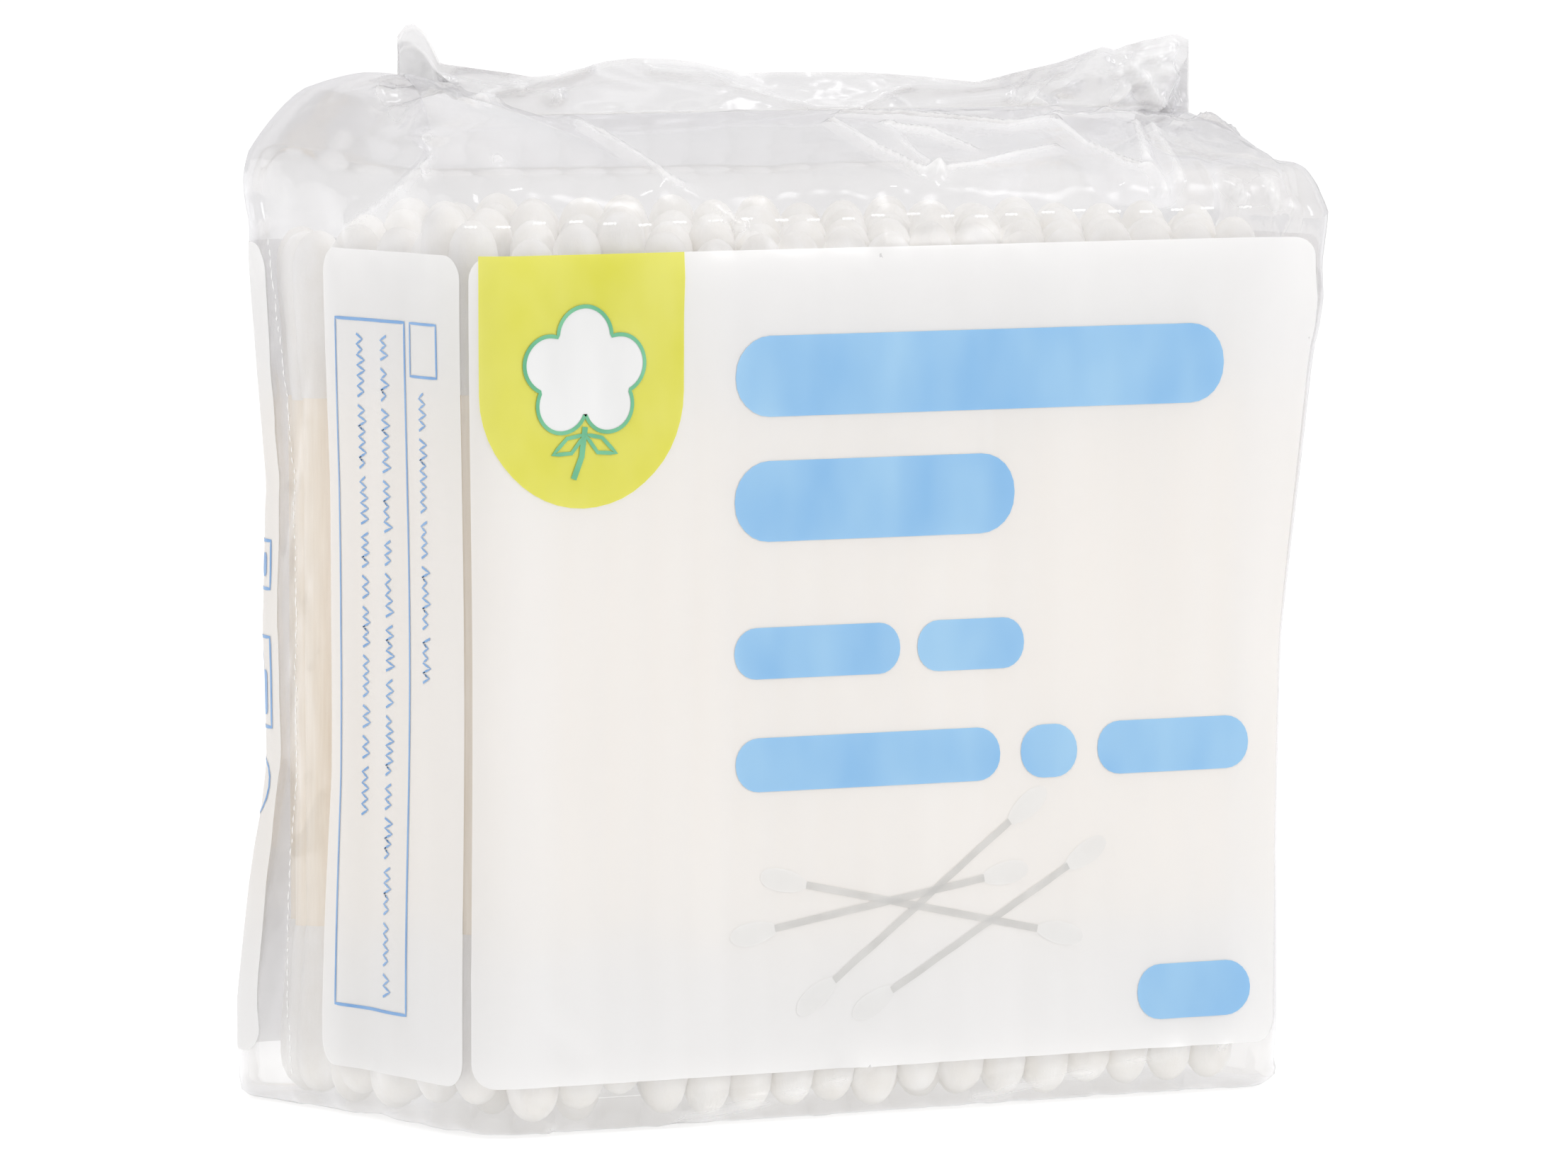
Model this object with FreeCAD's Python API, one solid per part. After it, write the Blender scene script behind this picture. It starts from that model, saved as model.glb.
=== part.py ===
import FreeCAD, Part
import math
import os

from FreeCAD import Placement, Rotation, Vector

# A clear film pack of cotton swabs, in millimetres. X runs along the front, Y from front to
# back and Z up. The swabs stand upright, and the origin is the middle of the pack's underside.

# One swab: a paper stick with a cotton head wound on each end
swab_length = 73.0
head_length = 14.0
head_diameter = 3.95
head_neck_diameter = 2.6
head_tip_length = 2.3
stick_diameter = 2.3
swab_sides = 5

# The block of swabs: long rows and short rows take turns, and the outer rows lack their ends
long_row = 19
row_count = 11
side_gap = 0.05
row_slack = 0.2
settle_height = 1.3
settle_steps = 7
settle_stride = 5
spread_at_top = 3.3

# The film
film_wall = 0.2
swab_clearance = 0.3
corner_radius = 4.5
base_edge_inset = 1.5
base_edge_height = 1.4
shoulder_clearance = 1.4

# The roof: its ridge line, how far its ends are drawn in and tucked, and how round each end is
ridge_height_left = 9.0
ridge_height_middle = 5.4
ridge_height_right = 4.6
ridge_end_width = 12.0
ridge_inset_left = 4.2
ridge_inset_right = 0.4
roundness_left = 2.3
roundness_right = 1.1
tuck_depth = 5.0
roof_steps = (0.0, 0.12, 0.35, 0.65, 0.92)
cavity_steps = 4

# The sealed fin: (share of its length, height over the ridge, lean towards the front)
fin_crest = (
    (0.000, 3.6, 0.2),
    (0.018, 4.5, 0.3),
    (0.036, 3.8, 0.4),
    (0.048, 1.9, 0.6),
    (0.130, 3.0, 1.6),
    (0.215, 3.8, 0.9),
    (0.290, 4.6, 0.2),
    (0.370, 4.2, -0.4),
    (0.430, 3.2, -0.8),
    (0.580, 3.1, -0.2),
    (0.720, 2.1, 0.9),
    (0.830, 3.8, 1.4),
    (0.915, 5.6, 0.8),
    (0.985, 6.6, 0.0),
    (1.000, 6.2, 0.0),
)

# The folds under the base
flap_thickness = 0.25
seal_flap_width = 8.0
flap_margin = 2.0

# The printed fields. Ink lies on the film in layers.
ink = 0.1
print_bottom = 4.1
print_below_shoulder = 5.15
print_corner = 2.0
print_corner_steps = 3
front_print_start = 0.7
front_print_end = 1.8
side_print_start = 2.9
side_print_width = 23.0
back_wrap = 3.2
tab_start = 0.7
tab_width = 18.6
tab_height = 20.5
tab_steps = 6
bar_start = 24.8
bar_roundness = 0.48
bar_end_steps = 2
bars = (
    # (start along the line and length, as shares of the front print's width,
    #  then height over the print's bottom and bar height, as shares of its height)
    (0.000, 0.625, 0.798, 0.098),
    (0.000, 0.355, 0.646, 0.098),
    (0.000, 0.210, 0.479, 0.063),
    (0.231, 0.137, 0.479, 0.063),
    (0.000, 0.336, 0.342, 0.066),
    (0.363, 0.073, 0.342, 0.066),
    (0.462, 0.196, 0.342, 0.066),
    (0.510, 0.145, 0.036, 0.068),
)

# Sizes that follow
pitch = head_diameter + side_gap
row_pitch = pitch * math.sqrt(3.0) / 2.0 + row_slack
block_half_width = (long_row - 1) / 2.0 * pitch + head_diameter / 2.0
block_half_depth = (row_count - 1) / 2.0 * row_pitch + head_diameter / 2.0
half_width = block_half_width + swab_clearance + film_wall
half_depth = block_half_depth + swab_clearance + film_wall
swab_floor = flap_thickness + film_wall + swab_clearance
shoulder = swab_floor + settle_height + swab_length + shoulder_clearance
print_height = shoulder - print_below_shoulder - print_bottom
arc_steps = 3
corner_points = arc_steps + 1
end_levels = (-0.5, 0.0, 0.5)
end_points = len(end_levels)


def planar_face(points):
    return Part.Face(Part.makePolygon(points + [points[0]]))


def strip_faces(lower, upper):
    """The facets between two rings: a flat four-sided one where it is flat, else two triangles.
    Their shared edge slants the same way on the front and on the back, so thin folds stay open."""
    faces = []
    count = len(lower)
    for i in range(count):
        a, b = lower[i], lower[(i + 1) % count]
        c, d = upper[(i + 1) % count], upper[i]
        normal = (b - a).cross(c - a)
        if abs(normal.normalize().dot(d - a)) < 1e-7:
            faces.append(planar_face([a, b, c, d]))
        elif b.x > a.x:
            faces += [planar_face([a, b, c]), planar_face([a, c, d])]
        else:
            faces += [planar_face([a, b, d]), planar_face([b, c, d])]
    return faces


def fan_of(points):
    """Triangles from the first point over the rest."""
    return [planar_face([points[0], points[i], points[i + 1]]) for i in range(1, len(points) - 1)]


def cone_faces(ring, apex):
    count = len(ring)
    return [planar_face([ring[i], ring[(i + 1) % count], apex]) for i in range(count)]


def solid_of(faces):
    shell = Part.makeShell(faces)
    shell.sewShape()
    solid = Part.makeSolid(shell)
    if solid.Volume < 0:
        solid.reverse()
    return solid


def side_ring(diameter, z):
    """One ring of a swab: a regular figure of swab_sides corners."""
    turns = [2.0 * math.pi * i / swab_sides for i in range(swab_sides)]
    radius = diameter / 2.0
    return [Vector(radius * math.cos(a), radius * math.sin(a), z) for a in turns]


def make_stick():
    low = side_ring(stick_diameter, head_length)
    high = side_ring(stick_diameter, swab_length - head_length)
    return solid_of(strip_faces(low, high) + [planar_face(low[::-1]), planar_face(high)])


def make_top_head():
    """A wound cotton head: it swells from the neck to its fullest ring and closes in a blunt tip."""
    neck = side_ring(head_neck_diameter, swab_length - head_length)
    full = side_ring(head_diameter, swab_length - head_tip_length)
    tip = Vector(0, 0, swab_length)
    return solid_of([planar_face(neck[::-1])] + strip_faces(neck, full) + cone_faces(full, tip))


def swab_places():
    """For each row, the foot of each swab and how far it leans to the right."""
    rows = []
    for row in range(row_count):
        count = long_row - row % 2
        first = 0
        if row in (0, row_count - 1):
            first = 1
        y = (row - (row_count - 1) / 2.0) * row_pitch
        places = []
        for i in range(first, count - first):
            x = (i - (count - 1) / 2.0) * pitch
            turn = (settle_stride * i + 3 * row + i * row) % settle_steps
            lift = settle_height * turn / (settle_steps - 1)
            top_shift = spread_at_top * (x + block_half_width) / (2.0 * block_half_width)
            lean = math.degrees(math.atan2(top_shift, swab_length))
            places.append(Placement(Vector(x, y, swab_floor + lift), Rotation(Vector(0, 1, 0), lean)))
        rows.append(places)
    return rows


def row_of(piece, places):
    copies = []
    for place in places:
        item = piece.copy()
        item.Placement = place.multiply(piece.Placement)
        copies.append(item)
    return Part.makeCompound(copies)


def right_wall(z):
    return half_width + spread_at_top * z / swab_length


def outline(left, right, depth, radius, tuck_left, tuck_right, shares):
    """The bag's section seen from above, from the front left corner counterclockwise.

    Each end may be tucked inwards at its middle. The front and back carry a point at each share
    of their flat width."""
    inner_left, inner_right, inner_depth = left + radius, right - radius, depth - radius

    def corner(cx, cy, start):
        turns = [math.radians(start + 90.0 * i / arc_steps) for i in range(corner_points)]
        return [(cx + radius * math.cos(a), cy + radius * math.sin(a)) for a in turns]

    def end(x, tuck, sign):
        return [(x + tuck * (1.0 - abs(k)), sign * k * inner_depth) for k in end_levels]

    def side(y, order):
        return [(inner_left + (inner_right - inner_left) * share, y) for share in order]

    points = corner(inner_left, -inner_depth, 180.0) + side(-depth, shares)
    points += corner(inner_right, -inner_depth, 270.0) + end(right, -tuck_right, 1.0)
    points += corner(inner_right, inner_depth, 0.0) + side(depth, shares[::-1])
    points += corner(inner_left, inner_depth, 90.0) + end(left, tuck_left, -1.0)
    return points


crest_shares = [share for share, _, _ in fin_crest[1:-1]]


def wall_ring(z, inset, shares=crest_shares, edge=0.0):
    radius = corner_radius - inset - edge
    reach = inset + edge
    flat = outline(-half_width + reach, right_wall(z) - reach, half_depth - reach, radius, 0.0, 0.0, shares)
    return [Vector(x, y, z) for x, y in flat]


fin_left = -half_width + ridge_inset_left
fin_right = right_wall(shoulder) - ridge_inset_right


def along(x):
    """The share of the fin's length at x."""
    return min(1.0, max(0.0, (x - fin_left) / (fin_right - fin_left)))


def ridge_height(x):
    """The ridge stands higher over both ends than in the middle."""
    from_left = max(0.0, 1.0 - (x - fin_left) / ridge_end_width)
    from_right = max(0.0, 1.0 - (fin_right - x) / ridge_end_width)
    height = ridge_height_middle
    height += (ridge_height_left - ridge_height_middle) * min(1.0, from_left)
    height += (ridge_height_right - ridge_height_middle) * min(1.0, from_right)
    return height


def roof_ring(t, inset=0.0, tuck=0.0, end_inset=0.0):
    """A section of the roof, t from 0 at the shoulder to 1 at the ridge."""
    depth = half_depth * (1.0 - t) + film_wall * t - inset
    left = -half_width + (fin_left + half_width) * t + inset + end_inset
    right = right_wall(shoulder) + (fin_right - right_wall(shoulder)) * t - inset - end_inset
    radius = (corner_radius - inset) * (1.0 - t)
    ring = []
    for x, y in outline(left, right, depth, radius, tuck, tuck, crest_shares):
        roundness = roundness_left + (roundness_right - roundness_left) * along(x)
        rise = 1.0 - (1.0 - t) ** roundness
        ring.append(Vector(x, y, shoulder - inset + ridge_height(x) * rise))
    return ring


def crest_at(share):
    """Height over the ridge and lean of the fin at a share of its length."""
    for (s0, h0, l0), (s1, h1, l1) in zip(fin_crest, fin_crest[1:]):
        if share <= s1:
            k = (share - s0) / (s1 - s0)
            return h0 + (h1 - h0) * k, l0 + (l1 - l0) * k
    return fin_crest[-1][1], fin_crest[-1][2]


def fin_ring(level):
    """A section of the sealed fin, level from 0 at the ridge to 1 at its crumpled edge."""
    ring = []
    for x, y in outline(fin_left, fin_right, film_wall, film_wall / 2.0, 0.0, 0.0, crest_shares):
        height, lean = crest_at(along(x))
        ring.append(Vector(x, y - lean * level, shoulder + ridge_height(x) + height * level))
    return ring


def stack(rings):
    faces = [planar_face(rings[0][::-1])]
    for lower, upper in zip(rings, rings[1:]):
        faces += strip_faces(lower, upper)
    return faces


def crest_cap(ring):
    """Closes a ring of uneven height with triangles between its front and its back."""
    half = len(ring) // 2
    front = ring[:half - end_points]
    back = ring[half:2 * half - end_points][::-1]
    faces = []
    for i in range(1, len(front) - 2):
        faces += fan_of([front[i], front[i + 1], back[i + 1], back[i]])
    right_end = front[-2:] + ring[half - end_points:half] + [back[-1], back[-2]]
    left_end = [back[1], back[0]] + ring[2 * half - end_points:] + front[:2]
    return faces + fan_of(right_end) + fan_of(left_end)


def make_film():
    """The bag: thin walls, a roof that closes into the sealed fin and folds under the base."""
    edge_height = flap_thickness + base_edge_height
    outer_rings = [wall_ring(flap_thickness, 0.0, edge=base_edge_inset), wall_ring(edge_height, 0.0)]
    outer_rings += [roof_ring(t, tuck=tuck_depth * math.sin(math.pi * t)) for t in roof_steps]
    outer_rings += [fin_ring(0.0), fin_ring(1.0)]
    outer = solid_of(stack(outer_rings) + crest_cap(outer_rings[-1]))

    cavity_rings = [
        wall_ring(flap_thickness + film_wall, film_wall, edge=base_edge_inset),
        wall_ring(edge_height + film_wall / 2.0, film_wall),
    ]
    cavity_rings.append(roof_ring(0.0, film_wall))
    cavity_rings += [roof_ring(t, film_wall, end_inset=tuck_depth) for t in roof_steps[1:cavity_steps]]
    cavity = solid_of(stack(cavity_rings) + crest_cap(cavity_rings[-1]))
    bag = outer.cut(cavity)

    flap_reach = half_depth - flap_margin - base_edge_inset
    left, right = flap_margin - half_width, half_width - flap_margin
    seal_corner = Vector(left, -seal_flap_width / 2.0, 0)
    seal = Part.makeBox(right - left, seal_flap_width, flap_thickness, seal_corner)
    folds = [seal]
    for edge, inwards in ((left, 1.0), (right, -1.0)):
        point = Vector(edge + inwards * flap_reach, 0, 0)
        corners = [Vector(edge, -flap_reach, 0), point, Vector(edge, flap_reach, 0)]
        folds.append(planar_face(corners).extrude(Vector(0, 0, flap_thickness)))
    return bag.fuse(folds).removeSplitter()


def quarter(cx, cz, radius, start, steps):
    turns = [math.radians(start + 90.0 * i / steps) for i in range(steps + 1)]
    return [Vector(cx + radius * math.cos(a), 0, cz + radius * math.sin(a)) for a in turns]


def rounded_field(width, height, radius, steps):
    """A flat field with rounded corners, from its lower left corner, in X and Z."""
    points = quarter(radius, radius, radius, 180.0, steps)
    points += quarter(width - radius, radius, radius, 270.0, steps)
    points += quarter(width - radius, height - radius, radius, 0.0, steps)
    points += quarter(radius, height - radius, radius, 90.0, steps)
    return planar_face(points)


def tab_field():
    """A field with a square top and a half round bottom."""
    radius = tab_width / 2.0
    points = quarter(radius, radius, radius, 180.0, tab_steps)
    points += quarter(radius, radius, radius, 270.0, tab_steps)[1:]
    points += [Vector(tab_width, 0, tab_height), Vector(0, 0, tab_height)]
    return planar_face(points)


def ink_band(layer):
    """A skin round the bag's walls, one layer of ink thick."""
    skins = []
    for depth in (ink * (layer + 1), ink * layer):
        low = wall_ring(print_bottom - ink, -depth, shares=[])
        high = wall_ring(print_bottom + print_height + ink, -depth, shares=[])
        skins.append(solid_of(stack([low, high]) + [planar_face(high)]))
    return skins[0].cut(skins[1])


def on_front(field, x, z):
    """Sends a field through the front wall and its corners."""
    window = field.extrude(Vector(0, corner_radius + 1.0, 0))
    window.translate(Vector(x, -half_depth - 1.0, z))
    return window


def on_back(field, x, z):
    window = field.extrude(Vector(0, corner_radius + 1.0, 0))
    window.translate(Vector(x, half_depth - corner_radius, z))
    return window


def on_end(field, y, z, right):
    """Sends a field through the left or right wall. It starts at the front, at y."""
    window = field.rotated(Vector(0, 0, 0), Vector(0, 0, 1), 90)
    window = window.extrude(Vector(corner_radius + spread_at_top + 2.0, 0, 0))
    start = -half_width - 1.0
    if right:
        start = half_width - corner_radius
    window.translate(Vector(start, y, z))
    return window


def make_prints():
    """The printed panels on the four walls, then the tab and the bars on the front panel."""
    under, over = ink_band(0), ink_band(1)
    front_left = front_print_start - half_width
    top = print_bottom + print_height
    front_width = right_wall(0) - front_print_end - front_left
    front = rounded_field(front_width, print_height, print_corner, print_corner_steps)
    side = rounded_field(side_print_width, print_height, print_corner, print_corner_steps)
    side_start = side_print_start - half_depth
    back = rounded_field(front_width - back_wrap, print_height, print_corner, print_corner_steps)
    prints = {
        "front_print": under.common(on_front(front, front_left, print_bottom)),
        "left_print": under.common(on_end(side, side_start, print_bottom, False)),
        "right_print": under.common(on_end(side, side_start, print_bottom, True)),
        "back_print": under.common(on_back(back, front_left, print_bottom)),
        "front_tab": over.common(on_front(tab_field(), front_left + tab_start, top - tab_height)),
    }
    pieces = []
    for start, length, height, share in bars:
        bar = share * print_height
        field = rounded_field(length * front_width, bar, bar * bar_roundness, bar_end_steps)
        x = bar_start - half_width + start * front_width
        pieces.append(over.common(on_front(field, x, print_bottom + height * print_height)))
    prints["name_bars"] = Part.makeCompound(pieces)
    return prints


def make_parts():
    parts = {"film_bag": make_film()}
    parts.update(make_prints())
    stick, top_head = make_stick(), make_top_head()
    bottom_head = top_head.rotated(Vector(0, 0, swab_length / 2.0), Vector(1, 0, 0), 180)
    for number, places in enumerate(swab_places(), 1):
        parts[f"sticks_row_{number:02d}"] = row_of(stick, places)
        parts[f"top_heads_row_{number:02d}"] = row_of(top_head, places)
        parts[f"bottom_heads_row_{number:02d}"] = row_of(bottom_head, places)
    return parts


def main():
    os.makedirs("parts", exist_ok=True)
    parts = make_parts()
    box = parts["film_bag"].BoundBox
    to_middle = Vector(-(box.XMin + box.XMax) / 2.0, 0, 0)
    for name, shape in parts.items():
        shape.translate(to_middle)
        shape.exportStep(f"parts/{name}.step")


main()
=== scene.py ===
import math

import bpy
import numpy as np
from mathutils import Euler, Matrix, Vector
from mathutils.geometry import delaunay_2d_cdt


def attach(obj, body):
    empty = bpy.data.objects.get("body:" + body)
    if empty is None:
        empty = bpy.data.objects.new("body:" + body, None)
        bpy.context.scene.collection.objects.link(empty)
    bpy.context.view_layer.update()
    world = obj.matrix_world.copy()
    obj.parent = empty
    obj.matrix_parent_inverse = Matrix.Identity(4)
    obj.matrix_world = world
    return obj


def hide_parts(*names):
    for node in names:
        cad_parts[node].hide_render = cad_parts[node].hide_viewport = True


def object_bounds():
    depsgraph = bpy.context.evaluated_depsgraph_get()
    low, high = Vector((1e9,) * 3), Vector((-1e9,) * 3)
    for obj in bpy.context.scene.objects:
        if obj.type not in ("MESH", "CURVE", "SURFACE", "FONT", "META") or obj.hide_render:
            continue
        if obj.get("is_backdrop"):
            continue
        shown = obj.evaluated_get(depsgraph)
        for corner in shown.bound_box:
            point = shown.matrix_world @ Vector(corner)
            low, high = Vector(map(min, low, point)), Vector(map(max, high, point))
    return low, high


# A clear film pack of cotton swabs. Shapes are worked out in millimetres and made in metres.
# X runs along the front, Y from front to back and Z up.

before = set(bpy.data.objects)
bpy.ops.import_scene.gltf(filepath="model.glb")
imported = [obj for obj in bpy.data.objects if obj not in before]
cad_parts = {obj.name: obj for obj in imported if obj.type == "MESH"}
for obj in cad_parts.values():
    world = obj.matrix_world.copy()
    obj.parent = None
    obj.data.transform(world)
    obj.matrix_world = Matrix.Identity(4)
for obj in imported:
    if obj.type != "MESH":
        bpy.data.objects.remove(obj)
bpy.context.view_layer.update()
MM = 0.001
rng = np.random.default_rng(41)

# The camera, where the photograph was taken from
camera_place = (-490.8, -863.3, 110.7)
camera_turn = 29.63
camera_pitch = 3.94
camera_roll = -0.17
camera_lens = 273.9

# The film bag's walls
left_wall = -40.2
right_foot = 36.75
right_lean = 3.3 / 73.0
half_depth = 20.8
corner_radius = 4.5
film_gap = 0.2
base_inset = 1.5
base_height = 0.3
edge_height = 1.65
shoulder = 76.45

# The roof, from the shoulder to the ridge that carries the sealed fin
fin_left = -36.0
fin_right = 39.8
ridge_left = 9.0
ridge_middle = 5.4
ridge_right = 4.6
ridge_end = 12.0
round_left = 2.3
round_right = 1.1
gusset_left = 8.4
gusset_right = 5.0

# The fin's crest: share of its length, height over the ridge, lean to the front
fin_crest = (
    (0.000, 3.0, 0.2), (0.006, 4.0, 0.2), (0.018, 4.6, 0.3), (0.031, 4.1, 0.4), (0.040, 3.0, 0.5),
    (0.047, 1.9, 0.6), (0.130, 2.9, 1.6), (0.215, 3.8, 0.9), (0.255, 4.4, 0.5), (0.290, 4.6, 0.2),
    (0.330, 4.5, -0.1), (0.370, 4.2, -0.4), (0.430, 3.2, -0.8), (0.500, 3.2, -0.5), (0.580, 3.1, -0.2),
    (0.650, 2.7, 0.4), (0.720, 2.1, 0.9), (0.830, 3.8, 1.4), (0.880, 5.1, 1.1), (0.900, 4.9, 0.9),
    (0.930, 5.7, 0.6), (0.985, 6.6, 0.0), (1.000, 6.2, 0.0),
)

# How far the bag's back left edge and its right end stand out: height, reach
left_swell = (
    (0.0, 1.9), (8.0, 2.1), (18.0, 1.0), (28.0, -0.5), (40.0, -0.1), (52.0, -0.6), (62.0, 0.1), (70.0, 0.7),
    (80.0, 0.7),
)
right_swell = (
    (0.0, 0.4), (6.0, 0.5), (20.0, 0.1), (38.0, 0.1), (50.0, 0.9), (60.0, 1.5), (66.0, 2.1), (69.0, 1.8),
    (73.0, 2.1), (80.0, 1.9),
)

# How far the roof's back left end stands out, the most that folds move the film, and its lowest place
pouch_reach = 1.7
most_relief = 2.4
lowest_film = 0.25

# The film's lip over the front's print: height, reach. Then how far its upper edge rises or drops: x, rise
front_lip = ((68.5, 0.0), (70.3, 0.38), (71.4, 0.50), (73.1, 0.03), (75.6, -0.15), (77.5, 0.0))
lip_edge = (
    (-22.0, -2.2), (-19.0, -1.2), (-16.0, -1.5), (-13.0, -0.9), (-10.5, -1.3), (-8.0, -1.0), (-5.0, -1.2),
    (-3.6, -1.7), (-2.2, -0.1), (-0.5, -0.8), (2.5, -0.4), (4.0, -0.7), (7.0, -0.2), (9.5, -0.5),
    (11.0, -0.9), (12.5, -2.0), (14.0, -2.4),
)

# Cells of the film's grid along the front, the back, an end and a corner, and up each stage
front_cells, back_cells, end_cells, corner_cells = 200, 110, 60, 8
base_rows, edge_rows, wall_rows, roof_rows, fin_rows = 10, 5, 95, 60, 16
wall_start = base_rows + edge_rows
# How many times the rows next to the shoulder are averaged, which rounds it
shoulder_rounding = 14

# Folds of the roof and the fin, then of the foot: path, height over the film, half width
creases = (
    (((-21.6, -0.5, 83.3), (-23.7, -9.9, 80.9), (-21.9, -19.5, 77.1), (-15.6, -20.8, 73.1)), 0.9, 1.0),
    (((-35.5, 3.5, 84.1), (-35.1, 2.1, 82.0), (-36.6, -4.0, 80.5), (-39.2, -12.5, 80.5)), 1.0, 0.9),
    (((-34.8, 2.3, 84.3), (-34.5, 1.2, 82.2), (-37.1, -6.6, 81.4)), 0.7, 0.8),
    (((-39.6, -12.9, 78.2), (-36.5, -18.1, 78.7)), 1.0, 0.8),
    (((-34.5, -10.1, 83.2), (-26.7, -1.5, 85.2)), 0.5, 1.0),
    (((-33.0, -9.2, 83.1), (-25.4, -1.0, 84.2)), 0.6, 0.9),
    (((-28.3, -0.5, 83.8), (-23.9, -1.1, 84.6), (-19.1, -1.0, 85.7)), 0.5, 0.8),
    (((-12.5, -0.2, 85.5), (-7.2, 0.2, 85.2), (-1.3, 0.1, 83.3), (2.9, -0.2, 82.1), (7.2, -0.2, 81.9)),
     0.5, 0.7),
    (((3.6, -4.1, 81.4), (10.8, -5.9, 81.1), (17.2, -8.5, 80.4), (22.9, -6.3, 80.8)), 0.7, 0.9),
    (((6.7, -0.2, 82.0), (12.0, -0.5, 83.6)), 0.5, 0.7),
    (((0.5, -7.7, 80.9), (0.6, -14.4, 79.0), (2.4, -18.8, 77.3), (3.8, -19.2, 77.1)), 0.8, 0.9),
    (((5.6, -7.7, 80.8), (3.7, -13.9, 79.1), (3.9, -18.6, 77.4)), 0.5, 0.8),
    (((3.8, -19.2, 77.1), (8.3, -17.9, 77.6), (14.5, -15.8, 78.3), (18.1, -14.3, 78.7)), 0.6, 0.9),
    (((6.0, -8.5, 80.6), (8.6, -10.1, 80.1), (9.8, -14.5, 78.8)), 0.5, 0.8),
    (((22.3, -7.7, 80.5), (21.1, -13.9, 78.8), (22.2, -17.5, 77.6), (24.1, -18.8, 77.1)), 0.7, 1.0),
    (((24.1, -4.3, 81.2), (30.5, -3.9, 81.0), (34.8, -5.0, 80.5), (38.6, -8.9, 79.3)), 0.6, 0.9),
    (((29.7, -7.9, 80.1), (25.1, -17.2, 77.6), (24.6, -20.8, 75.2)), 0.8, 1.0),
    (((31.5, -7.7, 80.1), (28.4, -15.0, 78.2), (26.2, -20.8, 76.1)), 0.6, 0.9),
    (((30.9, -20.8, 76.4), (32.3, -20.8, 74.5)), 0.8, 0.7),
    (((34.8, -20.8, 75.7), (35.2, -20.8, 74.2)), 0.6, 0.6),
    (((-39.5, -10.7, 77.5), (-40.2, -6.0, 75.4), (-40.2, 0.4, 73.1)), 0.5, 1.0),
    (((-27.7, -0.4, 83.3), (-38.9, -14.4, 80.1), (-40.2, -10.0, 76.4)), 0.4, 2.2),
    (((22.0, -0.4, 82.5), (23.2, -1.2, 84.4)), 0.5, 0.6),
    (((23.2, -0.2, 82.0), (25.5, -1.0, 84.1), (27.6, -1.2, 85.0)), 0.5, 0.6),
    (((32.2, -0.6, 84.5), (34.7, -0.6, 85.6), (38.0, -0.2, 86.5)), 0.6, 0.8),
    (((31.8, -0.3, 82.1), (34.8, -0.4, 84.4), (37.2, -0.2, 84.6)), 0.6, 0.8),
    (((34.8, -0.4, 84.4), (36.3, -0.3, 81.3)), 0.5, 0.7),
    (((-38.5, -18.5, 13.0), (-31.0, -20.8, 6.5)), 0.3, 1.4),
    (((-22.0, -20.8, 0.8), (-14.0, -20.8, 1.8), (-4.0, -20.8, 3.8)), 0.6, 0.7),
    (((-38.0, -18.0, 4.2), (-33.5, -20.6, 0.8)), 0.7, 0.9),
    (((6.0, -20.8, 1.0), (26.0, -20.8, 3.8)), 0.5, 0.8),
    (((30.0, -20.8, 4.0), (36.5, -18.0, 1.2)), 0.5, 1.0),
)

# Parts of the film that are crumpled: middle, reach, folds, longest fold, height, half width
crumples = (
    ((-36.0, -4.0, 81.0), (6.0, 16.0, 6.0), 8, 12.0, 0.20, 2.4),
    ((-29.0, -1.5, 84.5), (5.0, 4.0, 4.0), 40, 6.0, 0.40, 0.9),
    ((30.0, -1.0, 84.5), (9.0, 4.0, 4.5), 70, 7.0, 0.45, 0.9),
    ((15.0, -10.0, 80.0), (12.0, 9.0, 4.0), 10, 9.0, 0.16, 1.6),
    ((36.0, -6.0, 77.0), (6.0, 16.0, 5.0), 24, 11.0, 0.22, 1.9),
    ((0.0, 0.0, 84.0), (38.0, 3.0, 3.0), 60, 8.0, 0.30, 0.9),
    ((0.0, 12.0, 79.5), (38.0, 10.0, 4.0), 24, 18.0, 0.22, 2.8),
    ((0.0, 0.0, 2.5), (42.0, 22.0, 3.0), 60, 9.0, 0.22, 1.3),
    ((-39.0, 14.0, 40.0), (3.0, 7.0, 36.0), 26, 16.0, 0.14, 1.4),
    ((38.5, -10.0, 60.0), (3.0, 12.0, 20.0), 26, 12.0, 0.40, 1.4),
)

# Places where the film is whiter, partly milky film and partly painted highlights on the fin's ends and the
# roof's folds: middle, reach, how much whiter
milky_and_painted_glint_places = (
    ((-34.5, -0.5, 86.5), 5.0, 0.30),
    ((36.5, -0.3, 84.5), 7.0, 0.16),
    ((9.0, -10.0, 80.0), 5.5, 0.16),
    ((18.0, -8.5, 80.3), 6.0, 0.12),
    ((-34.0, -6.0, 81.5), 11.0, 0.12),
    ((-39.0, 15.0, 5.0), 11.0, 0.14),
)


def right_wall(z):
    return right_foot + right_lean * z


def mesh_piece(name, points, faces, material, smooth=True):
    """A piece from points in millimetres that rides on the pack's one body."""
    mesh = bpy.data.meshes.new(name)
    mesh.from_pydata((np.asarray(points, float) * MM).tolist(), [], faces)
    mesh.update()
    if smooth:
        mesh.shade_smooth()
    mesh.materials.append(material)
    piece = bpy.data.objects.new(name, mesh)
    bpy.context.collection.objects.link(piece)
    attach(piece, "root")
    return piece


# Materials

def new_material(name):
    material = bpy.data.materials.new(name)
    material.use_nodes = True
    tree = material.node_tree
    tree.nodes.clear()
    output = tree.nodes.new("ShaderNodeOutputMaterial")
    return material, tree, output


def add_node(tree, kind, values=None):
    """A new node with some of its inputs set."""
    node = tree.nodes.new("ShaderNode" + kind)
    for name, value in (values or {}).items():
        node.inputs[name].default_value = value
    return node


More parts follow.
